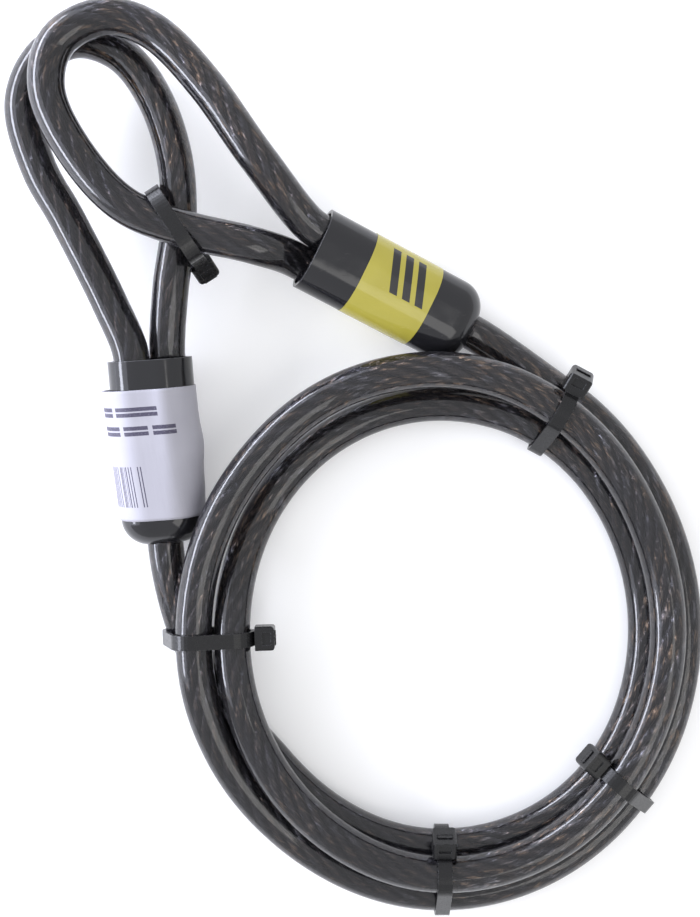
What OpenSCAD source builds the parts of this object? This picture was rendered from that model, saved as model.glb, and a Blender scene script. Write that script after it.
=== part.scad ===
// Looped steel security cable, coiled flat and held by cable ties.
// Units are millimetres. +Z is up. The origin is the middle of the coil, on the surface it lies on.
// +Y points from the coil towards the eyes' covers, +X to the right of them.

/* [Cable] */
// Outside diameter of the clear plastic jacket
jacket_d = 12; // [11.6:0.1:12]
// Diameter of the steel wire rope inside the jacket
rope_d = 8; // [7:0.5:8]

/* [Covers] */
// Width of the moulded cover over each ferrule
cover_w = 28; // [27.6:0.1:28]
// Thickness of the moulded cover
cover_t = 22; // [21.8:0.1:22]
// Wall thickness of the cover
cover_wall = 1.3; // [1:0.1:1.4]

/* [Labels] */
// Length of the paper label on cover A
paper_label_l = 43; // [30:1:43]
// Length of the coloured band on cover B
band_label_l = 24.8; // [15:0.1:28]

/* [Ties] */
// Width of a cable tie's strap
strap_w = 4.8; // [4.4:0.1:5]
// Thickness of the strap
strap_t = 1.1; // [1:0.1:1.2]
// Size of the tie's square head
head_size = 8; // [7.6:0.1:8.2]
// Height of the tie's head
head_h = 6.6; // [6.6:0.1:7.4]

/* [Hidden] */

fit_gap = 0.15;
jacket_r = jacket_d / 2;
rope_r = rope_d / 2;
// Height of a strand that lies on the straps
ground_z = strap_t + fit_gap + jacket_r;
round_fn = 48;
cable_sides = 12;

// The coil: a strand is placed by an ellipse, an outward offset from it and a height above ground_z.
coil_half_x = 76;
coil_half_y = 82;
// [angle, outward, up], running clockwise from the top right tie to the left tie, 2.6 turns later
STRAND = [
  [  62,  7.8,  1.0], [  35,  5.9,  0.0], [   0,  6.0,  0.0], [ -41,  7.0,  0.0],
  [ -90,  7.8,  0.1], [-125,  6.9,  1.5], [-150,  6.7,  8.2], [-166,  6.6, 12.8],
  [-185,  6.3, 13.4], [-203,  5.9, 15.9], [-222,  5.6, 13.4], [-243,  5.6, 12.2],
  [-262,  4.5, 14.6], [-280,  3.3, 14.7], [-298,  1.4, 12.8], [-330, -1.6, 11.6],
  [-360, -2.1, 11.6], [-401, -2.2, 12.0], [-450, -1.8, 11.4], [-482, -4.2, 12.5],
  [-510, -5.5, 12.6], [-528, -6.0, 12.6], [-545, -6.0, 10.0], [-566, -5.6,  2.6],
  [-585, -5.7,  0.0], [-630, -6.3,  0.0], [-658, -6.2,  0.0], [-695, -6.9,  0.0],
  [-725, -6.7,  0.0], [-761, -6.1,  0.0], [-810, -7.5,  0.0], [-860, -6.0,  0.0],
  [-880,  0.6,  0.0], [-898, 10.0,  0.6]
];

// Where the cable leaves each cover's domed end, with the cover's heading and its upward tilt
exit_a = [-93.0, 28.8, 10.7];
yaw_a = 94;
tilt_a = 6.4;
length_a = 61.7;
exit_b = [9.2, 99.9, 10.1];
yaw_b = 154;
tilt_b = 14;
length_b = 60;

// Inside a cover, distances from the cable's exit
dome_round = 9;
chamber_start = 8;
ferrule_start = 17;
ferrule_end = 47;
jacket_start = 50.5;
leg_straight_end = 61.5;
// Half distance between the two legs, in the ferrule and in the mouth, and their roll about the axis
ferrule_half_pitch = 5.45;
leg_half_pitch = 6.1;
legs_roll = 23.6;
ferrule_wall = 1.4;
dome_hole_r = jacket_r + 0.8;
jacket_coil_end = 2;
rope_coil_end = 3;
rope_eye_start = 5;

// Points the eyes pass through, from the leg on the coil's left to the other leg
EYE_A = [
  [-110, 108, 20], [-123.5, 135, 21], [-133, 152, 21], [-138.5, 172, 21], [-133, 187.5, 21],
  [-121, 194.5, 21], [-106, 189.5, 21], [-95, 175, 21], [-88.5, 155, 21], [-87.3, 133, 21],
  [-90, 113, 20]
];
EYE_B = [
  [-62, 125, 33.4], [-85, 130.4, 33.9], [-104, 138.5, 34.2], [-119, 155.5, 34.3], [-127.5, 174, 34.3],
  [-124, 190, 34.3], [-109, 197.5, 34.3], [-93, 192.5, 34.3], [-77, 176, 34.5], [-60, 152, 35]
];

// ---- vectors and curves ----

function unit(v) = v / norm(v);

// Cubic from p to q that leaves along u and arrives along v
function hermite(p, u, q, v, t) =
  (2*t*t*t - 3*t*t + 1) * p + (t*t*t - 2*t*t + t) * u + (3*t*t - 2*t*t*t) * q + (t*t*t - t*t) * v;

function hermite_points(p, u, q, v, steps) =
  [for (k = [1:steps]) hermite(p, u, q, v, k / steps)];

// Slope of column c of a station table at row k
function slope(table, k, c) =
  let (a = max(k - 1, 0), b = min(k + 1, len(table) - 1))
  (table[b][c] - table[a][c]) / (table[b][0] - table[a][0]);

// Column c between rows k and k + 1
function between(table, k, c, t) =
  let (span = table[k + 1][0] - table[k][0])
  hermite(table[k][c], slope(table, k, c) * span, table[k + 1][c], slope(table, k + 1, c) * span, t);

function base_radius(angle) = 1 / norm([cos(angle) / coil_half_x, sin(angle) / coil_half_y]);

function coil_point(angle, outward, up) =
  let (r = base_radius(angle) + outward)
  [r * cos(angle), r * sin(angle), ground_z + up];

function coil_between(k, t) =
  coil_point(
    STRAND[k][0] + t * (STRAND[k + 1][0] - STRAND[k][0]),
    between(STRAND, k, 1, t),
    between(STRAND, k, 2, t)
  );

// Row of STRAND whose span holds an angle
function row_at(angle, k = 0) =
  k >= len(STRAND) - 2 || STRAND[k + 1][0] <= angle ? k : row_at(angle, k + 1);

function strand_at(angle) =
  let (k = row_at(angle), t = (angle - STRAND[k][0]) / (STRAND[k + 1][0] - STRAND[k][0]))
  coil_between(k, t);

// ---- places inside a cover ----

// [along, across, up] of a cover turned into the object's frame
function in_cover(at, yaw, tilt, p) =
  let (x = p[0] * cos(tilt) - p[2] * sin(tilt), z = p[0] * sin(tilt) + p[2] * cos(tilt))
  at + [x * cos(yaw) - p[1] * sin(yaw), x * sin(yaw) + p[1] * cos(yaw), z];

function in_cover_a(p) = in_cover(exit_a, yaw_a, tilt_a, p);
function in_cover_b(p) = in_cover(exit_b, yaw_b, tilt_b, p);
function axis_a() = in_cover_a([1, 0, 0]) - exit_a;
function axis_b() = in_cover_b([1, 0, 0]) - exit_b;

// A leg of the eye at a distance along the cover. side is 1 or -1, roll lifts one leg over the other
function leg(along, half_pitch, side, roll) =
  [along, side * half_pitch * cos(roll), side * half_pitch * sin(roll)];

// ---- centrelines ----

coil_step = 8;
lead_pull = 30;

coil_points = [
  for (k = [0:len(STRAND) - 2])
    let (steps = ceil((STRAND[k][0] - STRAND[k + 1][0]) / coil_step))
    for (n = [0:steps - 1]) coil_between(k, n / steps)
];
coil_first = coil_points[0];
coil_last = coil_between(len(STRAND) - 2, 1);
coil_in = unit(coil_points[1] - coil_first);
coil_out = unit(coil_last - coil_between(len(STRAND) - 2, 0.95));

function coil_path(inside) = concat(
  [in_cover_b([inside, 0, 0]), exit_b],
  hermite_points(exit_b, -axis_b() * lead_pull, coil_first, coil_in * lead_pull, 5),
  [for (k = [1:len(coil_points) - 1]) coil_points[k]],
  [coil_last],
  hermite_points(coil_last, coil_out * lead_pull, exit_a, axis_a() * lead_pull, 4),
  [in_cover_a([inside, 0, 0])]
);

// Catmull-Rom curve through the points, with given first and last tangents
function through(points, first, last, steps) =
  let (n = len(points), m = [for (k = [0:n - 1])
    k == 0 ? first : k == n - 1 ? last : (points[k + 1] - points[k - 1]) / 2])
  [for (k = [0:n - 2]) each hermite_points(points[k], m[k], points[k + 1], m[k + 1], steps)];

eye_pull = 18;
eye_steps = 3;

// The part of an eye outside the ferrule, from one leg in the mouth to the other
function eye_loop(legs, points, axis) = concat(
  [legs[0], legs[1]],
  through(concat([legs[1]], points, [legs[2]]), axis * eye_pull, -axis * eye_pull, eye_steps),
  [legs[3]]
);

legs_a = [for (k = [[jacket_start, 1], [leg_straight_end, 1], [leg_straight_end, -1], [jacket_start, -1]])
  in_cover_a(leg(k[0], leg_half_pitch, k[1], legs_roll))];
legs_b = [for (k = [[jacket_start, 1], [leg_straight_end, 1], [leg_straight_end, -1], [jacket_start, -1]])
  in_cover_b(leg(k[0], leg_half_pitch, k[1], -legs_roll))];
loop_a = eye_loop(legs_a, EYE_A, axis_a());
loop_b = eye_loop(legs_b, EYE_B, axis_b());

// Live rope from the dome to the ferrule, in cover coordinates
function live_bend(roll) =
  let (start = [rope_eye_start, 0, 0], end = leg(ferrule_start, ferrule_half_pitch, -1, roll),
    pull = [ferrule_start - rope_eye_start, 0, 0])
  concat([start], hermite_points(start, pull, end, pull, 4));

rope_path_a = concat(
  [in_cover_a(leg(ferrule_start + 1, ferrule_half_pitch, 1, legs_roll)),
   in_cover_a(leg(ferrule_end, ferrule_half_pitch, 1, legs_roll))],
  loop_a,
  [in_cover_a(leg(ferrule_end, ferrule_half_pitch, -1, legs_roll))],
  [for (k = [4:-1:0]) in_cover_a(live_bend(legs_roll)[k])]
);
rope_path_b = concat(
  [in_cover_b(leg(ferrule_start + 1, ferrule_half_pitch, 1, -legs_roll)),
   in_cover_b(leg(ferrule_end, ferrule_half_pitch, 1, -legs_roll))],
  loop_b,
  [in_cover_b(leg(ferrule_end, ferrule_half_pitch, -1, -legs_roll))],
  [for (k = [4:-1:0]) in_cover_b(live_bend(-legs_roll)[k])]
);

// ---- swept solids ----

function tangent(path, k) =
  unit(path[min(k + 1, len(path) - 1)] - path[max(k - 1, 0)]);

// One ring of points square to the path
function ring(path, k, r, sides) =
  let (t = tangent(path, k), across = unit(cross(t, [0, 0, 1])), over = cross(across, t))
  [for (n = [0:sides - 1])
    path[k] + r * (cos(n * 360 / sides) * across + sin(n * 360 / sides) * over)];

// Wall faces between consecutive rings, starting at point number first
function wall_faces(rings, sides, first, inward) =
  [for (k = [0:rings - 2]) for (n = [0:sides - 1])
    let (a = first + k * sides + n, b = first + k * sides + (n + 1) % sides)
    inward ? [a, a + sides, b + sides, b] : [a, b, b + sides, a + sides]];

module rod(path, r, sides) {
  rings = len(path);
  points = [for (k = [0:rings - 1]) each ring(path, k, r, sides)];
  polyhedron(points, concat(
    wall_faces(rings, sides, 0, false),
    [[for (n = [sides - 1:-1:0]) n]],
    [[for (n = [0:sides - 1]) (rings - 1) * sides + n]]
  ), convexity = 10);
}

module tube(path, r_out, r_in, sides) {
  rings = len(path);
  outer = [for (k = [0:rings - 1]) each ring(path, k, r_out, sides)];
  inner = [for (k = [0:rings - 1]) each ring(path, k, r_in, sides)];
  half = rings * sides;
  last = (rings - 1) * sides;
  polyhedron(concat(outer, inner), concat(
    wall_faces(rings, sides, 0, false),
    wall_faces(rings, sides, half, true),
    [for (n = [0:sides - 1]) let (m = (n + 1) % sides) [m, n, half + n, half + m]],
    [for (n = [0:sides - 1]) let (m = (n + 1) % sides)
      [last + n, last + m, half + last + m, half + last + n]]
  ), convexity = 10);
}

// Bore whose flats stay clear of the rope
jacket_bore_r = (rope_r + 0.08) / cos(180 / cable_sides);

module jacket(path) color([0.13, 0.13, 0.15, 0.75]) tube(path, jacket_r, jacket_bore_r, cable_sides);
module rope(path) color([0.60, 0.60, 0.60]) rod(path, rope_r, cable_sides);

module jacket_coil() jacket(coil_path(jacket_coil_end));
module jacket_eye_a() jacket(loop_a);
module jacket_eye_b() jacket(loop_b);
module rope_coil() rope(coil_path(rope_coil_end));
module rope_eye_a() rope(rope_path_a);
module rope_eye_b() rope(rope_path_b);

// ---- ferrules ----

module in_frame(at, yaw, tilt) translate(at) rotate([0, -tilt, yaw]) children();

// Oval of two circles and a square, lying across the cover
module oval(half_gap, r) {
  for (side = [-1, 1]) translate([0, side * half_gap]) circle(r, $fn = round_fn);
  square([2 * r, 2 * half_gap], center = true);
}

module along_cover(from, to) translate([from, 0, 0]) rotate([0, 90, 0]) linear_extrude(to - from) children();

// Crimped sleeve that grips the rope and its returned end
module ferrule(roll) color([0.72, 0.73, 0.75]) rotate([roll, 0, 0]) difference() {
  along_cover(ferrule_start, ferrule_end) oval(ferrule_half_pitch, rope_r + ferrule_wall);
  for (side = [-1, 1]) along_cover(ferrule_start - 1, ferrule_end + 1)
    translate([0, side * ferrule_half_pitch]) circle(rope_r + 0.05, $fn = round_fn);
}

module ferrule_a() in_frame(exit_a, yaw_a, tilt_a) ferrule(legs_roll);
module ferrule_b() in_frame(exit_b, yaw_b, tilt_b) ferrule(-legs_roll);

// ---- covers ----

cover_r = cover_t / 2;
cover_half_gap = cover_w / 2 - cover_r;

// Half section of the cover's end: radius across, length along, with the dome's corner rounded
module cover_half_section(length) {
  translate([0, dome_round]) square([cover_r, length - dome_round]);
  square([cover_r - dome_round, length]);
  intersection() {
    translate([cover_r - dome_round, dome_round]) circle(dome_round, $fn = round_fn);
    square([cover_r, length]);
  }
}

module cover_outside(length) rotate([0, 90, 0]) {
  for (side = [-1, 1]) translate([0, side * cover_half_gap, 0])
    rotate_extrude($fn = round_fn) cover_half_section(length);
  rotate([90, 0, 0]) linear_extrude(2 * cover_half_gap, center = true) {
    cover_half_section(length);
    mirror([1, 0]) cover_half_section(length);
  }
}

module cover(length) color([0.07, 0.07, 0.08]) difference() {
  cover_outside(length);
  along_cover(chamber_start, length + 1) oval(cover_half_gap, cover_r - cover_wall);
  along_cover(-1, chamber_start + 1) circle(dome_hole_r, $fn = round_fn);
}

module cover_a() in_frame(exit_a, yaw_a, tilt_a) cover(length_a);
module cover_b() in_frame(exit_b, yaw_b, tilt_b) cover(length_b);

// ---- labels ----

paper_t = 0.25;
paper_slack = 1.6;
paper_start = 9.2;
band_t = 0.12;
band_start = 18.6;

// Paper wrapped once round the cover, standing off on one side
module paper_outline(r) {
  translate([0, cover_half_gap + paper_slack]) circle(r, $fn = round_fn);
  translate([0, -cover_half_gap]) circle(r, $fn = round_fn);
  translate([-r, -cover_half_gap]) square([2 * r, 2 * cover_half_gap + paper_slack]);
}

module label_a_paper() color([0.92, 0.91, 0.94]) in_frame(exit_a, yaw_a, tilt_a)
  along_cover(paper_start, paper_start + paper_label_l) difference() {
    paper_outline(cover_r + fit_gap + paper_t);
    paper_outline(cover_r + fit_gap);
  }

module label_b_band() color([0.90, 0.78, 0.10]) in_frame(exit_b, yaw_b, tilt_b)
  along_cover(band_start, band_start + band_label_l) difference() {
    oval(cover_half_gap, cover_r + 0.02 + band_t);
    oval(cover_half_gap, cover_r + 0.02);
  }

// ---- cable ties ----
// A tie lies in an upright plane. x runs across the strands, y is up, and the strap's width is z.
// A section is where a strand meets that plane: [across, up, stretch, radius], stretched across if the
// strand meets it aslant.

// Half the angle round the coil that the strap's width takes up
strap_half_angle = 1.7;
// Room for strands that cross a tie a little aslant
coil_stretch = 1.04;

// Sections of one pass of the coil, at the strap's two edges and its middle
function pass_sections(angle) =
  [for (shift = [-strap_half_angle, 0, strap_half_angle])
    let (p = strand_at(angle + shift)) [norm([p[0], p[1]]), p[2], coil_stretch, jacket_r]];

function pass(angle, turn) = pass_sections(angle - 360 * turn);
function coil_sections(angle) = [for (turn = [0:2]) each pass(angle, turn)];

// How near a slanting tie a path's points count, how finely its steps are divided, and how far outside
// the strap a ball of cable may lie, as a share of its radius
slice_reach = 25;
slice_steps = 4;
slice_limit = 0.9;

// Sections of a path that meets the plane at a slant: slices of the balls of cable round its points
function slant_sections(path, at, angle) =
  [for (k = [1:len(path) - 1]) for (n = [0:slice_steps - 1])
    let (
      p = path[k - 1] + (path[k] - path[k - 1]) * n / slice_steps, flat = [p[0] - at[0], p[1] - at[1]],
      beyond = max(abs(flat * [-sin(angle), cos(angle)]) - strap_w / 2, 0)
    )
    if (norm(flat) < slice_reach && beyond < slice_limit * jacket_r)
      [flat * [cos(angle), sin(angle)], p[2], 1, sqrt(jacket_r * jacket_r - beyond * beyond)]];

module strap_outline(sections, grow) hull()
  for (s = sections) translate([s[0], s[1]]) scale([s[2], 1]) circle(s[3] + grow, $fn = 40);

outer_grow = fit_gap + strap_t;

// Point of the strap's outer face, over one section, that faces an angle
function support(s, facing) =
  let (r = s[3] + outer_grow, k = norm([s[2] * cos(facing), sin(facing)]))
  [s[0] + s[2] * s[2] * r * cos(facing) / k, s[1] + r * sin(facing) / k];

function outermost(sections, facing, k = 0, best = 0) =
  let (out = [cos(facing), sin(facing)])
  k == len(sections) ? sections[best] :
  outermost(sections, facing, k + 1,
    support(sections[k], facing) * out > support(sections[best], facing) * out ? k : best);

// Facing of the strap's straight run between two sections, starting from a rough facing
function run_facing(a, b, facing, rounds) =
  rounds == 0 || a == b ? facing :
  let (
    run = support(b, facing) - support(a, facing), normal = [run[1], -run[0]],
    out = normal * [cos(facing), sin(facing)] > 0 ? normal : -normal
  )
  run_facing(a, b, atan2(out[1], out[0]), rounds - 1);

// How far along the strap's run from the lower strand to the upper one a head sits
head_share = 0.82;

// Where a head sits on the strap, between two strands' sections: [point, facing]
function head_seat(sections, first, second, rough_facing) =
  let (
    a = outermost(first, rough_facing), b = outermost(second, rough_facing),
    facing = run_facing(a, b, rough_facing, 4), out = [cos(facing), sin(facing)],
    foot = support(a, facing) * (1 - head_share) + support(b, facing) * head_share,
    height = max([for (s = sections) support(s, facing) * out])
  )
  [foot + (height - foot * out) * out, facing];

module at_seat(seat) translate(seat[0]) rotate(seat[1]) children();
module centred(width) linear_extrude(width, center = true) children();

slot_w = strap_w + 0.4;
pawl_w = strap_w - 0.2;
pawl_knuckle = [5.0, 1.9];
pawl_knuckle_r = 0.6;
pawl_room_end = 5.2;
tail_near = -0.25;
tail_far = tail_near - strap_t;
short_tail = 0.4;
long_tail = 4;
head_round = 1.2;
// Shallow window on the head's two sides: its start, length, width and depth
window = [2.6, 2.8, 4.2, 0.5];

// The loop, split beside the root so that the tail is free of it
module strap(sections, seat) centred(strap_w) difference() {
  strap_outline(sections, outer_grow);
  strap_outline(sections, fit_gap);
  at_seat(seat) translate([-3, tail_near]) square([6, 0.4]);
}

module rounded_square(w, h, r) {
  square([w - 2 * r, h], center = true);
  square([w, h - 2 * r], center = true);
  for (x = [-1, 1]) for (y = [-1, 1]) translate([x * (w / 2 - r), y * (h / 2 - r)]) circle(r, $fn = 24);
}

module window_pair() for (side = [-1, 1])
  translate([window[0] + window[1] / 2, side * head_size / 2, 0])
    cube([window[1], 2 * window[3], window[2]], center = true);

// Drawn with the loop's outer face at x = 0 and the head standing out along +x
module head_block() intersection() {
  translate([0.2, 0, 0]) rotate([0, 90, 0]) linear_extrude(head_h - 0.2)
    rounded_square(head_size, head_size, head_round);
  rotate([90, 0, 0]) linear_extrude(head_size + 1, center = true)
    rounded_square(2 * head_h, head_size, head_round);
}

module head(tail) {
  difference() {
    head_block();
    window_pair();
    translate([-1, tail_far - 0.2, -slot_w / 2]) cube([head_h + 2, strap_t + 1, slot_w]);
    translate([0.9, tail_near, -slot_w / 2]) cube([pawl_room_end - 0.9, 3.2, slot_w]);
    translate(concat(pawl_knuckle, 0))
      cylinder(r = pawl_knuckle_r + 0.05, h = slot_w, center = true, $fn = 32);
  }
  centred(strap_w) translate([-strap_t, 0.3]) square([strap_t + 0.5, head_size / 2 - 0.3]);
  centred(strap_w) translate([-strap_t / 2, tail_far]) square([head_h + tail + strap_t / 2, strap_t]);
}

// Toothed tongue that bears on the tail, on its round hinge
module pawl() color([0.10, 0.10, 0.11]) {
  centred(pawl_w) polygon([[4.8, 1.35], [3.2, 0.1], [3.1, -0.1], [2.6, 0.1], [2.5, -0.1], [2.0, -0.1],
    [1.9, 0.6], [4.1, 2.3]]);
  translate(concat(pawl_knuckle, 0)) cylinder(r = pawl_knuckle_r, h = pawl_w, center = true, $fn = 32);
}

module tie(sections, seat, tail = short_tail) color([0.10, 0.10, 0.11]) {
  strap(sections, seat);
  at_seat(seat) head(tail);
}

module upright(at, angle) translate(at) rotate([90, 0, angle]) children();

// Ties round the coil, each named by its place, with its angle and its head's seat.
// Passes 0, 1 and 2 are the outer, upper and inner strands.
left_at = -178;
left_sections = coil_sections(left_at);
left_seat = head_seat(left_sections, pass(left_at, 1), pass(left_at, 1), 180);
top_right_at = 62;
top_right_sections = coil_sections(top_right_at);
top_right_seat = head_seat(top_right_sections, pass(top_right_at, 0), pass(top_right_at, 1), 30);
lower_right_at = -41;
lower_right_sections = coil_sections(lower_right_at);
lower_right_seat = head_seat(lower_right_sections, pass(lower_right_at, 2), pass(lower_right_at, 1), 150);
bottom_at = -90;
bottom_sections = coil_sections(bottom_at);
bottom_seat = head_seat(bottom_sections, pass(bottom_at, 2), pass(bottom_at, 1), 150);

module in_left() upright([0, 0, 0], left_at) children();
module in_top_right() upright([0, 0, 0], top_right_at) children();
module in_lower_right() upright([0, 0, 0], lower_right_at) children();
module in_bottom() upright([0, 0, 0], bottom_at) children();

module tie_left() in_left() tie(left_sections, left_seat);
module tie_top_right() in_top_right() tie(top_right_sections, top_right_seat);
module tie_lower_right() in_lower_right() tie(lower_right_sections, lower_right_seat);
module tie_bottom() in_bottom() tie(bottom_sections, bottom_seat);
module pawl_left() in_left() at_seat(left_seat) pawl();
module pawl_top_right() in_top_right() at_seat(top_right_seat) pawl();
module pawl_lower_right() in_lower_right() at_seat(lower_right_seat) pawl();
module pawl_bottom() in_bottom() at_seat(bottom_seat) pawl();

// The tie that binds eye B's lower leg over eye A's right leg, where they cross
crossing_at = [-87, 131.5, 0];
crossing_angle = -57;
crossing_low = slant_sections(loop_a, crossing_at, crossing_angle);
crossing_sections = concat(crossing_low, slant_sections(loop_b, crossing_at, crossing_angle));
crossing_seat = head_seat(crossing_sections, crossing_low, crossing_low, -50);
module in_crossing() upright(crossing_at, crossing_angle) children();
module tie_crossing() in_crossing() tie(crossing_sections, crossing_seat, long_tail);
module pawl_crossing() in_crossing() at_seat(crossing_seat) pawl();

jacket_coil();
jacket_eye_a();
jacket_eye_b();
rope_coil();
rope_eye_a();
rope_eye_b();
ferrule_a();
ferrule_b();
cover_a();
cover_b();
label_a_paper();
label_b_band();
tie_left();
tie_top_right();
tie_lower_right();
tie_bottom();
tie_crossing();
pawl_left();
pawl_top_right();
pawl_lower_right();
pawl_bottom();
pawl_crossing();
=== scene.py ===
"""Looks of a looped steel security cable, coiled and held by cable ties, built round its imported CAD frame.

The jackets, the wire rope inside them and the paper label are rebuilt as finer pieces. The rest are the CAD's
own nodes with procedural materials. Lengths are in millimetres until a mesh is made, which is in metres.
"""

import math

import bpy
import numpy as np
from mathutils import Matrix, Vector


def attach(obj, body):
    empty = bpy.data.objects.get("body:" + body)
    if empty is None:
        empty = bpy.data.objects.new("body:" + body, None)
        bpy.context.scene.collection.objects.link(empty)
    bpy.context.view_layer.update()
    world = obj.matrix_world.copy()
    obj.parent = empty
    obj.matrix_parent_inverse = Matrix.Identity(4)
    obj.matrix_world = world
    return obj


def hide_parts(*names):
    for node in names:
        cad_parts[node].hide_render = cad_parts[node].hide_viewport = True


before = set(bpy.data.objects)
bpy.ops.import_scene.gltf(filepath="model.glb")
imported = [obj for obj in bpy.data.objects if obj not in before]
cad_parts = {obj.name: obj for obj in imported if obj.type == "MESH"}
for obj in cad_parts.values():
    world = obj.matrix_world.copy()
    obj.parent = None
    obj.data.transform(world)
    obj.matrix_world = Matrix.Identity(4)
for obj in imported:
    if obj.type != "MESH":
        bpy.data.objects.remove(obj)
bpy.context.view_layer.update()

MM = 0.001
TURN = 2 * math.pi
UP = np.array([0.0, 0.0, 1.0])

# ---- sizes shared with the CAD source ----

JACKET_R = 6.0
BORE_R = 4.12
ROPE_R = 4.0
GROUND_Z = 7.25
COIL_HALF_X = 76.0
COIL_HALF_Y = 82.0
# How finely the curves are cut: degrees of coil, and steps of each cubic
COIL_STEP = 0.5
EYE_STEPS = 20
LEAD_STEPS = 40
BEND_STEPS = 12

# Stations of the coil: angle in degrees, outward offset from its base ellipse, height over GROUND_Z
STRAND = np.array([
    [62, 7.8, 1.0], [35, 5.9, 0], [0, 6.0, 0], [-41, 7.0, 0],
    [-90, 7.8, 0.1], [-125, 6.9, 1.5], [-150, 6.7, 8.2], [-166, 6.6, 12.8],
    [-185, 6.3, 13.4], [-203, 5.9, 15.9], [-222, 5.6, 13.4], [-243, 5.6, 12.2],
    [-262, 4.5, 14.6], [-280, 3.3, 14.7], [-298, 1.4, 12.8], [-330, -1.6, 11.6],
    [-360, -2.1, 11.6], [-401, -2.2, 12.0], [-450, -1.8, 11.4], [-482, -4.2, 12.5],
    [-510, -5.5, 12.6], [-528, -6.0, 12.6], [-545, -6.0, 10.0], [-566, -5.6, 2.6],
    [-585, -5.7, 0], [-630, -6.3, 0], [-658, -6.2, 0], [-695, -6.9, 0],
    [-725, -6.7, 0], [-761, -6.1, 0], [-810, -7.5, 0], [-860, -6.0, 0],
    [-880, 0.6, 0], [-898, 10.0, 0.6],
])

# Each cover: where the cable leaves its dome, its heading and upward tilt, and the roll of the eye's legs
COVER_A = {"at": np.array([-93.0, 28.8, 10.7]), "yaw": 94, "tilt": 6.4, "roll": 23.6}
COVER_B = {"at": np.array([9.2, 99.9, 10.1]), "yaw": 154, "tilt": 14, "roll": -23.6}
COVER_R = 11.0
COVER_HALF_GAP = 3.0
# Distances up each cover from its dome
JACKET_COIL_END = 2
ROPE_COIL_END = 3
ROPE_EYE_START = 5
FERRULE_START = 17
FERRULE_END = 47
JACKET_START = 50.5
LEG_STRAIGHT_END = 61.5
# Half the distance between an eye's two legs, in the ferrule and outside it
FERRULE_HALF_PITCH = 5.45
LEG_HALF_PITCH = 6.1
# How strongly the cable keeps its heading where it leaves the dome and where it leaves the legs
LEAD_PULL = 30
EYE_PULL = 18

# Points that the eyes pass through, from one leg to the other
EYE_A = np.array([
    [-110, 108, 20], [-123.5, 135, 21], [-133, 152, 21], [-138.5, 172, 21], [-133, 187.5, 21],
    [-121, 194.5, 21], [-106, 189.5, 21], [-95, 175, 21], [-88.5, 155, 21], [-87.3, 133, 21],
    [-90, 113, 20],
])
EYE_B = np.array([
    [-62, 125, 33.4], [-85, 130.4, 33.9], [-104, 138.5, 34.2], [-119, 155.5, 34.3], [-127.5, 174, 34.3],
    [-124, 190, 34.3], [-109, 197.5, 34.3], [-93, 192.5, 34.3], [-77, 176, 34.5], [-60, 152, 35],
])


# ---- curves ----


def unit(v):
    """Each vector at length 1."""
    return v / np.linalg.norm(v, axis=-1, keepdims=True)


def hermite(p, u, q, v, steps):
    """Points from p to q, both included, on the cubic that leaves along u and arrives along v."""
    t = np.linspace(0, 1, steps + 1)[:, None]
    return (
        (2 * t**3 - 3 * t**2 + 1) * p
        + (t**3 - 2 * t**2 + t) * u
        + (3 * t**2 - 2 * t**3) * q
        + (t**3 - t**2) * v
    )


def between_stations(column, angles):
    """A column of STRAND at each angle, by a cubic through the stations."""
    at, values = STRAND[:, 0], STRAND[:, column]
    rows = np.arange(len(at))
    before, after = np.maximum(rows - 1, 0), np.minimum(rows + 1, len(at) - 1)
    slopes = (values[after] - values[before]) / (at[after] - at[before])
    k = np.clip(np.searchsorted(-at, -angles, side="right") - 1, 0, len(at) - 2)
    span = at[k + 1] - at[k]
    t = (angles - at[k]) / span
    return (
        (2 * t**3 - 3 * t**2 + 1) * values[k]
        + (t**3 - 2 * t**2 + t) * slopes[k] * span
        + (3 * t**2 - 2 * t**3) * values[k + 1]
        + (t**3 - t**2) * slopes[k + 1] * span
    )


def coil_curve():
    """The coil's middle line, from the cover B side to the cover A side."""
    angles = np.append(np.arange(STRAND[0, 0], STRAND[-1, 0], -COIL_STEP), STRAND[-1, 0])
    c, s = np.cos(np.radians(angles)), np.sin(np.radians(angles))
    radius = 1 / np.hypot(c / COIL_HALF_X, s / COIL_HALF_Y) + between_stations(1, angles)
    return np.stack([radius * c, radius * s, GROUND_Z + between_stations(2, angles)], axis=1)


def in_cover(cover, p):
    """Points given as along, across and up of a cover, turned into the object's frame."""
    p = np.atleast_2d(np.asarray(p, float))
    yaw, tilt = math.radians(cover["yaw"]), math.radians(cover["tilt"])
    x = p[:, 0] * math.cos(tilt) - p[:, 2] * math.sin(tilt)
    z = p[:, 0] * math.sin(tilt) + p[:, 2] * math.cos(tilt)
    turned = np.stack(
        [x * math.cos(yaw) - p[:, 1] * math.sin(yaw), x * math.sin(yaw) + p[:, 1] * math.cos(yaw), z], axis=1
    )
    return cover["at"] + turned


def axis_of(cover):
    """The direction from the cover's dome to its mouth."""
    return in_cover(cover, [1, 0, 0])[0] - cover["at"]


def leg(cover, along, half_pitch, side):
    """A point on one leg of the eye, in the cover's own coordinates."""
    roll = math.radians(cover["roll"])
    return [along, side * half_pitch * math.cos(roll), side * half_pitch * math.sin(roll)]


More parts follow.
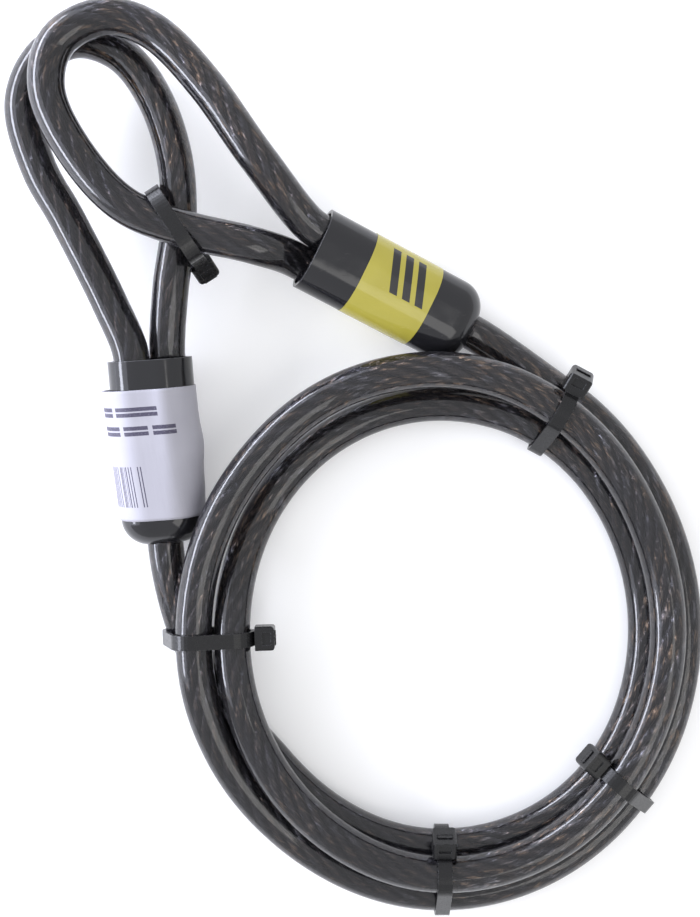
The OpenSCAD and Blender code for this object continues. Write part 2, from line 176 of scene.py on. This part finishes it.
def eye_loop(cover, points):
    """The part of an eye outside its ferrule."""
    start, out = in_cover(cover, [leg(cover, a, LEG_HALF_PITCH, 1) for a in (JACKET_START, LEG_STRAIGHT_END)])
    back, end = in_cover(cover, [leg(cover, a, LEG_HALF_PITCH, -1) for a in (LEG_STRAIGHT_END, JACKET_START)])
    knots = np.vstack([out, points, back])
    pulls = np.empty_like(knots)
    pulls[1:-1] = (knots[2:] - knots[:-2]) / 2
    pulls[0] = axis_of(cover) * EYE_PULL
    pulls[-1] = -pulls[0]
    spans = [
        hermite(knots[k], pulls[k], knots[k + 1], pulls[k + 1], EYE_STEPS)[1:]
        for k in range(len(knots) - 1)
    ]
    return np.vstack([start, out, *spans, end])


def eye_rope(cover, loop):
    """The eye's rope: its cut end, the ferrule, the loop, the ferrule again and the bend to the dome."""
    cut = in_cover(cover, [leg(cover, a, FERRULE_HALF_PITCH, 1) for a in (FERRULE_START + 1, FERRULE_END)])
    live = np.array(leg(cover, FERRULE_START, FERRULE_HALF_PITCH, -1))
    pull = np.array([FERRULE_START - ROPE_EYE_START, 0, 0])
    bend = hermite(np.array([ROPE_EYE_START, 0, 0]), pull, live, pull, BEND_STEPS)[::-1]
    gripped = in_cover(cover, leg(cover, FERRULE_END, FERRULE_HALF_PITCH, -1))
    return np.vstack([cut, loop, gripped, in_cover(cover, bend)])


def coil_cable(inside):
    """The long stretch of cable, from inside cover B to inside cover A."""
    coil = coil_curve()
    first = unit(coil[1] - coil[0]) * LEAD_PULL
    last = unit(coil[-1] - coil[-2]) * LEAD_PULL
    lead_b = hermite(COVER_B["at"], -axis_of(COVER_B) * LEAD_PULL, coil[0], first, LEAD_STEPS)
    lead_a = hermite(coil[-1], last, COVER_A["at"], axis_of(COVER_A) * LEAD_PULL, LEAD_STEPS)
    end_b, end_a = in_cover(COVER_B, [inside, 0, 0]), in_cover(COVER_A, [inside, 0, 0])
    return np.vstack([end_b, lead_b, coil[1:], lead_a[1:], end_a])


def evenly(path, step):
    """The path again with points an even distance apart, and each point's distance along it."""
    lengths = np.append(0, np.cumsum(np.linalg.norm(np.diff(path, axis=0), axis=1)))
    along = np.linspace(0, lengths[-1], round(lengths[-1] / step) + 1)
    return np.stack([np.interp(along, lengths, path[:, c]) for c in range(3)], axis=1), along


def directions(path):
    """Two directions square to the path and to each other, which don't turn about it."""
    tangents = unit(np.gradient(path, axis=0))
    side = np.empty_like(path)
    side[0] = unit(np.cross(tangents[0], UP))
    for k in range(1, len(path)):
        side[k] = unit(side[k - 1] - tangents[k] * np.dot(tangents[k], side[k - 1]))
    return side, np.cross(tangents, side)


# ---- meshes ----


def tube_rings(path, radius, sides):
    """Round rings square to the path."""
    side, over = directions(path)
    angle = np.arange(sides) * TURN / sides
    out = side[:, None] * np.cos(angle)[None, :, None] + over[:, None] * np.sin(angle)[None, :, None]
    return path[:, None] + radius * out


def wall(rings, along, first, slot=0, inward=False, u_start=0.0):
    """Quads between rings, with their UVs: turns round and metres along."""
    count, sides = rings.shape[:2]
    k, j = (a.ravel() for a in np.meshgrid(np.arange(count - 1), np.arange(sides), indexing="ij"))
    following = (j + 1) % sides
    near, far = first + k * sides, first + (k + 1) * sides
    quads = np.stack([near + j, near + following, far + following, far + j], 1)
    u = u_start + np.stack([j, j + 1, j + 1, j], 1) / sides
    v = np.stack([along[k], along[k], along[k + 1], along[k + 1]], 1) * MM
    uv = np.stack([u, v], 2)
    if inward:
        quads, uv = quads[:, ::-1], uv[:, ::-1]
    return {"faces": quads.tolist(), "uv": uv.reshape(-1, 2), "slots": [slot] * len(quads)}


def cap(loop):
    """One face that closes an end."""
    return {"faces": [list(map(int, loop))], "uv": np.zeros((len(loop), 2)), "slots": [0]}


def make_piece(name, points, parts, materials):
    """A smooth mesh object from points in mm and lists of faces."""
    mesh = bpy.data.meshes.new(name)
    faces = [f for part in parts for f in part["faces"]]
    mesh.from_pydata((points * MM).tolist(), [], faces)
    layer = mesh.uv_layers.new(name="UVMap")
    layer.data.foreach_set("uv", np.vstack([part["uv"] for part in parts]).astype(np.float32).ravel())
    mesh.polygons.foreach_set("material_index", [s for part in parts for s in part["slots"]])
    mesh.polygons.foreach_set("use_smooth", [True] * len(faces))
    for material in materials:
        mesh.materials.append(material)
    mesh.update()
    piece = bpy.data.objects.new(name, mesh)
    bpy.context.scene.collection.objects.link(piece)
    return piece


# How finely the jackets are cut: sides of each ring, and mm between rings
JACKET_SIDES = 28
JACKET_STEP = 2.2


def make_jacket(name, path, materials):
    """A clear tube with an inner wall that fits the rope."""
    path, along = evenly(path, JACKET_STEP)
    outer = tube_rings(path, JACKET_R, JACKET_SIDES)
    inner = tube_rings(path, BORE_R, JACKET_SIDES)
    half = len(path) * JACKET_SIDES
    last = half - JACKET_SIDES
    ends = []
    for n in range(JACKET_SIDES):
        m = (n + 1) % JACKET_SIDES
        ends.append(cap([m, n, half + n, half + m]))
        ends.append(cap([last + n, last + m, half + last + m, half + last + n]))
    walls = [wall(outer, along, 0), wall(inner, along, half, slot=1, inward=True)]
    return make_piece(name, np.vstack([outer.reshape(-1, 3), inner.reshape(-1, 3)]), walls + ends, materials)


# The rope: outer strands, the wires that show on each, and the length in which each goes round once
STRANDS = 6
STRAND_R = ROPE_R / 3
STRAND_LAY = 52.0
WIRES = 9
WIRE_LAY = 25.8
# A strand's section has three points to a wire: one in the valley beside it and two on its crest
WIRE_POINTS = 3
WIRE_CREST = 0.99
WIRE_VALLEY = 0.84
ROPE_STEP = 2.6


def strand_rings(path, along, side, over, offset, phase):
    """Rings of one strand, fluted by its wires, winding round the path at an offset from it."""
    turn = phase + TURN * along / STRAND_LAY
    middle = path + offset * (side * np.cos(turn)[:, None] + over * np.sin(turn)[:, None])
    sides = WIRE_POINTS * WIRES
    flute = np.where(np.arange(sides) % WIRE_POINTS == 0, WIRE_VALLEY, 1.0) * STRAND_R * WIRE_CREST
    angle = np.arange(sides)[None] * TURN / sides - (TURN * along / WIRE_LAY)[:, None]
    out = side[:, None] * np.cos(angle)[..., None] + over[:, None] * np.sin(angle)[..., None]
    return middle[:, None] + flute[None, :, None] * out


def make_rope(name, path, material):
    """Six right-hand strands of wires laid round a core strand."""
    path, along = evenly(path, ROPE_STEP)
    side, over = directions(path)
    points, parts, first = [], [], 0
    for n in range(STRANDS + 1):
        offset = 0 if n == STRANDS else 2 * STRAND_R
        rings = strand_rings(path, along, side, over, offset, n * TURN / STRANDS)
        sides = rings.shape[1]
        last = first + (len(path) - 1) * sides
        parts.append(wall(rings, along, first, u_start=float(n)))
        parts.append(cap(range(first + sides - 1, first - 1, -1)))
        parts.append(cap(range(last, last + sides)))
        points.append(rings.reshape(-1, 3))
        first += len(path) * sides
    return make_piece(name, np.vstack(points), parts, [material])


# The paper label: its place up cover A, length, thickness and gap, its slack at the loose end, and its lap
PAPER_START = 9.2
PAPER_LENGTH = 43.0
PAPER_THICK = 0.25
PAPER_GAP = 0.15
PAPER_SLACK = 2.0
PAPER_OVERLAP = 7.0
# The lapped end steps up over this length, by this many thicknesses of paper
LAP_STEP = 4
LAP_LIFT = 1.3
# Creases: place round the sheet, half width and height at the loose end, and how far they drift along it
CREASES = [(20.0, 2.6, 0.6), (34.5, 3.4, 0.4), (47.0, 2.8, 0.6)]
CREASE_DRIFT = 2.5
# The bulge: place round the sheet, half width and height, and the depth and number of its waves
BULGE = (62.0, 7.0, 1.0)
BULGE_WAVE = 0.35
BULGE_WAVES = 2.2
# How finely the sheet is cut, round and along
PAPER_ROUND = 120
PAPER_ALONG = 44


def paper_section(s, radius, slack):
    """Places and outward directions at distances s round the cover, from the middle of its underside."""
    left = COVER_HALF_GAP + slack
    arc = math.pi * radius
    marks = np.cumsum([left, arc, left + COVER_HALF_GAP, arc])
    s = s % (marks[-1] + COVER_HALF_GAP)
    on_left = np.clip((s - marks[0]) / radius, 0, math.pi) - math.pi / 2
    on_right = np.clip((s - marks[2]) / radius, 0, math.pi) + math.pi / 2
    angle = np.where(s < marks[2], on_left, on_right)
    across = np.select(
        [s < marks[0], s < marks[1], s < marks[2], s < marks[3]],
        [s, left, left - (s - marks[1]), -COVER_HALF_GAP],
        s - marks[3] - COVER_HALF_GAP,
    )
    normal = np.stack([np.cos(angle), np.sin(angle)], 1)
    return np.stack([across, np.zeros_like(s)], 1) + radius * normal, normal


def paper_creases(s, share):
    """How far the loose paper lifts off: creases that fade towards the tight end, and a bulge on one side."""
    lift = np.zeros_like(s)
    for at, width, height in CREASES:
        lift += height * np.exp(-(((s - at - CREASE_DRIFT * share) / width) ** 2)) * share**1.5
    at, width, height = BULGE
    waviness = math.sin(math.pi * share) ** 2 * (1 + BULGE_WAVE * math.sin(BULGE_WAVES * TURN * share))
    return lift + height * waviness * np.exp(-(((s - at) / width) ** 2))


def make_paper(name, material):
    """One sheet wrapped round cover A, with its end lapped over its start on the underside."""
    radius = COVER_R + PAPER_GAP
    points, uv = [], []
    for layer in (PAPER_THICK, 0.0):
        for row in range(PAPER_ALONG + 1):
            share = row / PAPER_ALONG
            slack = PAPER_SLACK * share
            once = TURN * radius + 4 * COVER_HALF_GAP + 2 * slack
            s = np.linspace(0, once + PAPER_OVERLAP, PAPER_ROUND + 1)
            place, normal = paper_section(s, radius, slack)
            lapped = np.clip((s - once + LAP_STEP) / LAP_STEP, 0, 1)
            lift = layer + paper_creases(s, share) + LAP_LIFT * PAPER_THICK * lapped
            place = place + normal * lift[:, None]
            along = PAPER_START + PAPER_LENGTH * share
            points.append(in_cover(COVER_A, np.column_stack([np.full(len(s), along), place])))
            uv.append(np.column_stack([s * MM, np.full(len(s), PAPER_LENGTH * share * MM)]))
    points, uv = np.vstack(points), np.vstack(uv)
    wide, half = PAPER_ROUND + 1, (PAPER_ROUND + 1) * (PAPER_ALONG + 1)
    outer = [
        [r * wide + c, (r + 1) * wide + c, (r + 1) * wide + c + 1, r * wide + c + 1]
        for r in range(PAPER_ALONG)
        for c in range(PAPER_ROUND)
    ]
    inner = [[half + n for n in face[::-1]] for face in outer]
    bottom, top = list(range(wide)), [half - wide + c for c in range(wide)]
    start = [r * wide for r in range(PAPER_ALONG + 1)]
    end = [c + wide - 1 for c in start]
    rim = []
    for edge, flip in ((bottom, False), (top, True), (start, True), (end, False)):
        for a, b in zip(edge, edge[1:]):
            face = [a, b, b + half, a + half]
            rim.append(face[::-1] if flip else face)
    faces = outer + inner + rim
    part = {"faces": faces, "uv": np.vstack([uv[face] for face in faces]), "slots": [0] * len(faces)}
    return make_piece(name, points, [part], [material])


# ---- procedural materials ----


def add(tree, kind, values=None, **settings):
    """A new node. A value that is another node's output is linked, and any other value is set."""
    node = tree.nodes.new("ShaderNode" + kind)
    for key, value in settings.items():
        setattr(node, key, value)
    for key, value in (values or {}).items():
        if isinstance(value, bpy.types.NodeSocket):
            tree.links.new(value, node.inputs[key])
        else:
            node.inputs[key].default_value = value
    return node


def new_material(name):
    """A material with an empty node tree."""
    material = bpy.data.materials.new(name)
    material.use_nodes = True
    material.node_tree.nodes.clear()
    return material, material.node_tree


def finish_material(tree, shader):
    add(tree, "OutputMaterial", {"Surface": shader})


def rgb(r, g, b):
    return (r, g, b, 1.0)


def coords(tree, kind="Object", stretch=(1, 1, 1), turn=0.0):
    """Texture coordinates, stretched, and turned about the third axis."""
    source = add(tree, "TexCoord").outputs[kind]
    values = {"Vector": source, "Scale": stretch, "Rotation": (0, 0, turn)}
    return add(tree, "Mapping", values).outputs["Vector"]


def noise(tree, vector, scale, detail=3.0):
    return add(tree, "TexNoise", {"Vector": vector, "Scale": scale, "Detail": detail}).outputs["Fac"]


def spread(tree, value, low, high, to_low, to_high):
    """value's range from low to high stretched to another range, and held there beyond its ends."""
    values = {"Value": value, "From Min": low, "From Max": high, "To Min": to_low, "To Max": to_high}
    return add(tree, "MapRange", values).outputs["Result"]


def maths(tree, operation, a, b=0.0):
    return add(tree, "Math", {0: a, 1: b}, operation=operation).outputs["Value"]


def mix(tree, share, a, b):
    return add(tree, "MixRGB", {"Fac": share, "Color1": a, "Color2": b}).outputs["Color"]


def bump(tree, height, distance_mm, strength=1.0, normal=None):
    values = {"Height": height, "Distance": distance_mm * MM, "Strength": strength}
    if normal is not None:
        values["Normal"] = normal
    return add(tree, "Bump", values).outputs["Normal"]


def rounded_normal(tree, radius_mm):
    return add(tree, "Bevel", {"Radius": radius_mm * MM}, samples=4).outputs["Normal"]


def edge_mask(tree, radius_mm):
    """1 along sharp edges and 0 on open faces."""
    sharp = add(tree, "NewGeometry").outputs["Normal"]
    product = add(tree, "VectorMath", {0: sharp, 1: rounded_normal(tree, radius_mm)}, operation="DOT_PRODUCT")
    return spread(tree, product.outputs["Value"], 0.995, 0.90, 0.0, 1.0)


def scuffs(tree, vector, scale, cut):
    """Fine marks: 1 on them and 0 elsewhere."""
    return spread(tree, noise(tree, vector, scale, 5.0), cut, cut + 0.06, 0.0, 1.0)


# The share of light that the jacket's faint milkiness scatters
MILK_SHARE = 0.022


def jacket_material():
    """Smoked clear vinyl: it bends light, tints it, scatters a little, and lets lamps through to the rope."""
    material, tree = new_material("smoked_vinyl")
    along = coords(tree, "UV", (3, 60, 1))
    cloud = noise(tree, coords(tree), 45, 2.0)
    clouded = spread(tree, cloud, 0.35, 0.65, 0, 1)
    tint = mix(tree, clouded, rgb(0.092, 0.091, 0.106), rgb(0.138, 0.137, 0.152))
    marks = scuffs(tree, coords(tree, "UV", (40, 140, 1)), 1.0, 0.66)
    haze = spread(tree, noise(tree, along, 1.0), 0.3, 0.7, 0.05, 0.12)
    rough = maths(tree, "ADD", haze, maths(tree, "MULTIPLY", marks, 0.12))
    relief = bump(tree, noise(tree, coords(tree), 130, 2.0), 0.12, 0.5)
    relief = bump(tree, marks, 0.01, 0.6, relief)
    surface = {"Base Color": tint, "Roughness": rough, "IOR": 1.52, "Normal": relief}
    glass = add(tree, "BsdfPrincipled", surface | {"Transmission Weight": 1.0})
    milk_colour = mix(tree, cloud, rgb(0.34, 0.33, 0.38), rgb(0.46, 0.45, 0.52))
    milk = add(tree, "BsdfDiffuse", {"Color": milk_colour})
    hazed = add(tree, "MixShader", {0: MILK_SHARE, 1: glass.outputs[0], 2: milk.outputs[0]})
    clear = add(tree, "BsdfTransparent", {"Color": tint})
    lamp_ray = add(tree, "LightPath").outputs["Is Shadow Ray"]
    chosen = add(tree, "MixShader", {0: lamp_ray, 1: hazed.outputs[0], 2: clear.outputs[0]})
    finish_material(tree, chosen.outputs[0])
    return material


def bore_material():
    """The jacket's inner face, moulded onto the rope, so light goes straight through it."""
    material, tree = new_material("vinyl_bore")
    tone = spread(tree, noise(tree, coords(tree), 120), 0.3, 0.7, 0.88, 1.0)
    clear = add(tree, "BsdfTransparent", {"Color": mix(tree, tone, rgb(0, 0, 0), rgb(1, 1, 1))})
    finish_material(tree, clear.outputs[0])
    return material


def wire_material():
    """Drawn steel wire in a dark mottled colour, with painted glints: bright or warm streaks of base colour
    along single wires.
    """
    material, tree = new_material("drawn_wire")
    # UVs run in turns round each strand and metres along it, so a wire keeps its place across
    single_wires = coords(tree, "UV", (WIRES, 150, 1))
    # Painted glints: patchy streaks along single wires where the base colour turns bright or warm, standing
    # in for lamp highlights
    glint_patch = spread(tree, noise(tree, coords(tree), 14, 1.0), 0.47, 0.60, 0.3, 1)
    streak = spread(tree, noise(tree, single_wires, 1.0, 1.0), 0.54, 0.63, 0.12, 1)
    painted_glint = maths(tree, "MULTIPLY", glint_patch, streak)
    warm_glint_share = spread(tree, noise(tree, coords(tree, "UV", (1, 60, 1)), 1.0, 2.0), 0.42, 0.54, 0, 1)
    painted_glint_colour = mix(tree, warm_glint_share, rgb(0.95, 0.94, 0.95), rgb(0.95, 0.66, 0.40))
    # The wire's dark base colour, mottled along the strands
    wire_mottle = noise(tree, coords(tree, "UV", (3, 40, 1)), 1.0)
    dark_wire_tone = mix(tree, wire_mottle, rgb(0.03, 0.03, 0.034), rgb(0.09, 0.088, 0.09))
    colour = mix(tree, painted_glint, dark_wire_tone, painted_glint_colour)
    draw_marks = noise(tree, coords(tree, "UV", (260, 250, 1)), 1.0, 2.0)
    rough = spread(tree, draw_marks, 0.3, 0.7, 0.16, 0.32)
    relief = bump(tree, draw_marks, 0.02, 0.6)
    surface = {"Base Color": colour, "Metallic": 1.0, "Roughness": rough, "Normal": relief}
    shader = add(tree, "BsdfPrincipled", surface)
    finish_material(tree, shader.outputs[0])
    return material


def cover_material():
    """Glossy black moulding, a little wavy, with rubbed edges and hair scratches."""
    material, tree = new_material("gloss_black_moulding")
    place = coords(tree)
    marks = scuffs(tree, coords(tree, stretch=(1, 6, 1), turn=0.5), 220, 0.67)
    speckle = spread(tree, noise(tree, place, 500), 0.35, 0.6, 0, 1)
    rubbed = maths(tree, "MULTIPLY", edge_mask(tree, 0.5), speckle)
    colour = mix(tree, rubbed, rgb(0.012, 0.012, 0.014), rgb(0.10, 0.10, 0.11))
    gloss = spread(tree, noise(tree, place, 90), 0.3, 0.7, 0.07, 0.16)
    dulled = maths(tree, "MULTIPLY", maths(tree, "MAXIMUM", marks, rubbed), 0.25)
    rough = maths(tree, "ADD", gloss, dulled)
    relief = bump(tree, noise(tree, place, 110, 1.5), 0.18, 0.5, rounded_normal(tree, 0.35))
    relief = bump(tree, marks, 0.01, 0.5, relief)
    surface = {"Base Color": colour, "Roughness": rough, "IOR": 1.5, "Normal": relief}
    shader = add(tree, "BsdfPrincipled", surface)
    finish_material(tree, shader.outputs[0])
    return material


def nylon_material(name, tone):
    """Satin black nylon with a fine moulded grain and paler edges."""
    material, tree = new_material(name)
    place = coords(tree)
    grain = noise(tree, place, 1400, 4.0)
    speckle = spread(tree, noise(tree, place, 700), 0.35, 0.65, 0, 1)
    rubbed = maths(tree, "MULTIPLY", edge_mask(tree, 0.3), speckle)
    light = 1.7 * tone
    dark = mix(tree, noise(tree, place, 60), rgb(tone, tone, 1.1 * tone), rgb(light, light, 1.06 * light))
    colour = mix(tree, rubbed, dark, rgb(0.06, 0.06, 0.065))
    rough = spread(tree, grain, 0.3, 0.7, 0.20, 0.34)
    relief = bump(tree, grain, 0.02, 0.5, rounded_normal(tree, 0.25))
    gloss = {"Roughness": rough, "IOR": 1.53, "Specular IOR Level": 0.34}
    shader = add(tree, "BsdfPrincipled", {"Base Color": colour, "Normal": relief} | gloss)
    finish_material(tree, shader.outputs[0])
    return material


def ferrule_material(name, cover):
    """Pressed aluminium sleeve with the press's ribs across it."""
    material, tree = new_material(name)
    place = coords(tree, turn=-math.radians(cover["yaw"]))
    pressed = {"Vector": place, "Scale": 55, "Distortion": 1.5, "Detail": 1.0}
    ribs = add(tree, "TexWave", pressed).outputs["Fac"]
    cloud = noise(tree, place, 300, 5.0)
    colour = mix(tree, cloud, rgb(0.50, 0.50, 0.51), rgb(0.80, 0.80, 0.81))
    relief = bump(tree, cloud, 0.05, 0.4, bump(tree, ribs, 0.3, 0.7, rounded_normal(tree, 0.4)))
    rough = spread(tree, cloud, 0.3, 0.7, 0.25, 0.5)
    surface = {"Base Color": colour, "Metallic": 1.0, "Roughness": rough, "Normal": relief}
    shader = add(tree, "BsdfPrincipled", surface)
    finish_material(tree, shader.outputs[0])
    return material


def inside(tree, value, low, high):
    """1 where value lies between low and high."""
    above = maths(tree, "GREATER_THAN", value, low)
    return maths(tree, "MULTIPLY", above, maths(tree, "LESS_THAN", value, high))


def block(tree, u, v, u_low, u_high, v_low, v_high):
    """1 inside a rectangle given in mm."""
    across = inside(tree, u, u_low * MM, u_high * MM)
    return maths(tree, "MULTIPLY", across, inside(tree, v, v_low * MM, v_high * MM))


# Dashes that stand for two lines of print: from, to and row, in mm round and along the sheet
DASHES = [(24.0, 31.5, 34.4), (33.0, 47.0, 34.4), (24.0, 33.5, 28.2), (35.0, 43.0, 28.2), (44.5, 52.0, 28.2)]
DASH_PITCH = 1.8
DASH_HEIGHT = 1.3
# The plain bars: their field round and along the sheet, how fine they are and where noise turns to ink
BAR_FIELD = (24.0, 40.0, 4.7, 18.1)
BAR_FINENESS = 2100.0
BAR_CUT = 0.52


def paper_material():
    """Coated white paper with plain printed dashes and bars, fibres and handling marks."""
    material, tree = new_material("printed_paper")
    sheet = add(tree, "SeparateXYZ", {"Vector": add(tree, "TexCoord").outputs["UV"]})
    u, v = sheet.outputs["X"], sheet.outputs["Y"]
    print_mask = None
    for low, high, row in DASHES:
        for line in (row, row + DASH_PITCH):
            dash = block(tree, u, v, low, high, line, line + DASH_HEIGHT)
            print_mask = dash if print_mask is None else maths(tree, "MAXIMUM", print_mask, dash)
    bars = noise(tree, coords(tree, "UV", (1, 0, 0)), BAR_FINENESS, 0.0)
    dark_bars = maths(tree, "GREATER_THAN", bars, BAR_CUT)
    bar_field = block(tree, u, v, *BAR_FIELD)
    print_mask = maths(tree, "MAXIMUM", print_mask, maths(tree, "MULTIPLY", dark_bars, bar_field))
    fibre = noise(tree, coords(tree, "UV", (1, 2.5, 1)), 1800, 4.0)
    worn_print = maths(tree, "MULTIPLY", print_mask, spread(tree, fibre, 0.30, 0.45, 0.6, 1.0))
    paper = mix(tree, noise(tree, coords(tree), 70), rgb(0.33, 0.325, 0.375), rgb(0.41, 0.405, 0.455))
    colour = mix(tree, worn_print, paper, rgb(0.05, 0.045, 0.08))
    waves = bump(tree, noise(tree, coords(tree, "UV", (6, 1, 1)), 30), 0.5, 0.35)
    relief = bump(tree, fibre, 0.02, 0.5, waves)
    rough = spread(tree, fibre, 0.3, 0.7, 0.45, 0.65)
    shader = add(tree, "BsdfPrincipled", {"Base Color": colour, "Roughness": rough, "Normal": relief})
    finish_material(tree, shader.outputs[0])
    return material


# The band's bars: how far they lean, their pitch and inked share, and their field across and along cover B
BAR_SLANT = 0.35
BAR_PITCH = 4.6
BAR_SHARE = 0.6
INK_FIELD = (-11.5, 2.5, 18.4, 31.4)
# Ink lies only this far above the dome's middle or higher, so the underside stays plain
INK_FLOOR = 8


def band_material():
    """Glossy yellow film with plain slanting black bars on one side."""
    material, tree = new_material("yellow_film")
    turn = -math.radians(COVER_B["yaw"])
    start = in_cover(COVER_B, [0, 0, 0])[0] * MM
    position = add(tree, "TexCoord").outputs["Object"]
    centred = add(tree, "VectorMath", {0: position, 1: tuple(-start)}, operation="ADD").outputs["Vector"]
    turned = add(tree, "VectorRotate", {"Vector": centred, "Angle": turn}, rotation_type="Z_AXIS")
    local = turned.outputs["Vector"]
    place = add(tree, "SeparateXYZ", {"Vector": local})
    along, across = place.outputs["X"], place.outputs["Y"]
    slant = maths(tree, "ADD", along, maths(tree, "MULTIPLY", across, BAR_SLANT))
    repeat = maths(tree, "FRACT", maths(tree, "DIVIDE", slant, BAR_PITCH * MM))
    bars = inside(tree, repeat, 0.0, BAR_SHARE)
    field = block(tree, across, slant, *INK_FIELD)
    top = maths(tree, "GREATER_THAN", place.outputs["Z"], INK_FLOOR * MM)
    ink = maths(tree, "MULTIPLY", maths(tree, "MULTIPLY", bars, field), top)
    yellow = mix(tree, noise(tree, local, 80), rgb(0.35, 0.305, 0.04), rgb(0.44, 0.39, 0.07))
    marks = scuffs(tree, coords(tree, stretch=(1, 5, 1)), 260, 0.68)
    colour = mix(tree, ink, yellow, rgb(0.02, 0.02, 0.02))
    gloss = spread(tree, noise(tree, local, 140), 0.3, 0.7, 0.10, 0.2)
    rough = maths(tree, "ADD", gloss, maths(tree, "MULTIPLY", marks, 0.2))
    relief = bump(tree, noise(tree, local, 160, 2.0), 0.1, 0.4)
    surface = {"Base Color": colour, "Roughness": rough, "Normal": relief}
    shader = add(tree, "BsdfPrincipled", surface)
    finish_material(tree, shader.outputs[0])
    return material


# The floor is a light table, lit a little from below. It reaches this far each way, in metres
FLOOR_GLOW = 0.15
FLOOR_REACH = 12.0


def floor_material():
    """Pale matt plastic that glows a little."""
    material, tree = new_material("studio_floor")
    tone = mix(tree, noise(tree, coords(tree), 3.0), rgb(0.925, 0.925, 0.93), rgb(0.94, 0.94, 0.94))
    surface = {"Base Color": tone, "Roughness": 0.6, "Specular IOR Level": 0.2}
    glow = {"Emission Color": rgb(1, 1, 1), "Emission Strength": FLOOR_GLOW}
    shader = add(tree, "BsdfPrincipled", surface | glow)
    finish_material(tree, shader.outputs[0])
    return material


# ---- the object ----


def paint(node, material):
    """Give a CAD node its material."""
    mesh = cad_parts[node].data
    mesh.materials.clear()
    mesh.materials.append(material)


vinyl = [jacket_material(), bore_material()]
wire = wire_material()
loop_a, loop_b = eye_loop(COVER_A, EYE_A), eye_loop(COVER_B, EYE_B)

rebuilt = [
    (make_jacket("jacket_coil_clear", coil_cable(JACKET_COIL_END), vinyl), "coil", "jacket_coil", "jacket"),
    (make_jacket("jacket_eye_a_clear", loop_a, vinyl), "eyes", "jacket_eye_a", "jacket"),
    (make_jacket("jacket_eye_b_clear", loop_b, vinyl), "eyes", "jacket_eye_b", "jacket"),
    (make_rope("rope_coil_strands", coil_cable(ROPE_COIL_END), wire), "coil", "rope_coil", "steel_rope"),
    (make_rope("rope_eye_a_strands", eye_rope(COVER_A, loop_a), wire), "eyes", "rope_eye_a", "steel_rope"),
    (make_rope("rope_eye_b_strands", eye_rope(COVER_B, loop_b), wire), "eyes", "rope_eye_b", "steel_rope"),
    (make_paper("label_a_sheet", paper_material()), "eyes", "label_a_paper", "paper"),
]
for piece, body, node, slot_name in rebuilt:
    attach(piece, body)
    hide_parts(node)

gloss_black = cover_material()
nylon = nylon_material("satin_nylon", 0.006)
pawl_nylon = nylon_material("pawl_nylon", 0.009)
for letter, cover in (("a", COVER_A), ("b", COVER_B)):
    paint("cover_" + letter, gloss_black)
    paint("ferrule_" + letter, ferrule_material("pressed_sleeve_" + letter, cover))
paint("label_b_band", band_material())
for place in ("left", "top_right", "lower_right", "bottom", "crossing"):
    paint("tie_" + place, nylon)
    paint("pawl_" + place, pawl_nylon)

# The hidden CAD nodes take the finish of the piece that stands for them
for piece, body, node, slot_name in rebuilt:
    paint(node, piece.data.materials[0])


# ---- studio ----

# The even surround, whose reflection also sets how pale the black surfaces look
SURROUND_STRENGTH = 0.92
# The camera, in metres and in mm of a full-frame lens
CAMERA_PLACE = (-0.031, 0.057, 0.450)
CAMERA_LENS = 51.3
SENSOR_WIDTH = 36


def make_floor():
    """One large square under the object."""
    mesh = bpy.data.meshes.new("studio_floor")
    turns = ((-1, -1), (1, -1), (1, 1), (-1, 1))
    corners = [(x * FLOOR_REACH, y * FLOOR_REACH, 0) for x, y in turns]
    mesh.from_pydata(corners, [], [(0, 1, 2, 3)])
    mesh.materials.append(floor_material())
    floor = bpy.data.objects.new("studio_floor", mesh)
    bpy.context.scene.collection.objects.link(floor)


def make_softbox(name, place, aim, size, power, colour):
    """A rectangular area lamp at a place, facing an aim point, all in metres."""
    lamp = bpy.data.lights.new(name, "AREA")
    lamp.shape = "RECTANGLE"
    lamp.size, lamp.size_y = size
    lamp.energy = power
    lamp.color = colour
    box = bpy.data.objects.new(name, lamp)
    box.location = place
    heading = Vector(aim) - Vector(place)
    box.rotation_euler = heading.to_track_quat("-Z", "Y").to_euler()
    bpy.context.scene.collection.objects.link(box)


def make_world():
    """An even pale surround."""
    world = bpy.data.worlds.new("studio")
    world.use_nodes = True
    surround = world.node_tree.nodes["Background"].inputs
    surround["Color"].default_value = rgb(0.96, 0.97, 1.0)
    surround["Strength"].default_value = SURROUND_STRENGTH
    bpy.context.scene.world = world


def make_camera():
    """The camera looks straight down on the object."""
    camera = bpy.data.cameras.new("camera")
    camera.sensor_width = SENSOR_WIDTH
    camera.lens = CAMERA_LENS
    camera.clip_start, camera.clip_end = 0.01, 20
    holder = bpy.data.objects.new("camera", camera)
    holder.location = CAMERA_PLACE
    bpy.context.scene.collection.objects.link(holder)
    bpy.context.scene.camera = holder


make_floor()
make_world()
make_softbox("key_box", (-0.60, 0.24, 0.26), (-0.03, 0.05, 0), (1.0, 0.12), 6, (0.84, 0.87, 1.0))
make_softbox("key_halo", (-0.62, 0.25, 0.27), (-0.03, 0.05, 0), (1.2, 0.62), 4.5, (0.84, 0.87, 1.0))
make_softbox("fill_box", (0.7, -0.6, 1.3), (0, 0.03, 0), (0.9, 0.9), 5, (1.0, 0.98, 0.95))
make_camera()
bpy.context.scene.view_settings.view_transform = "Standard"
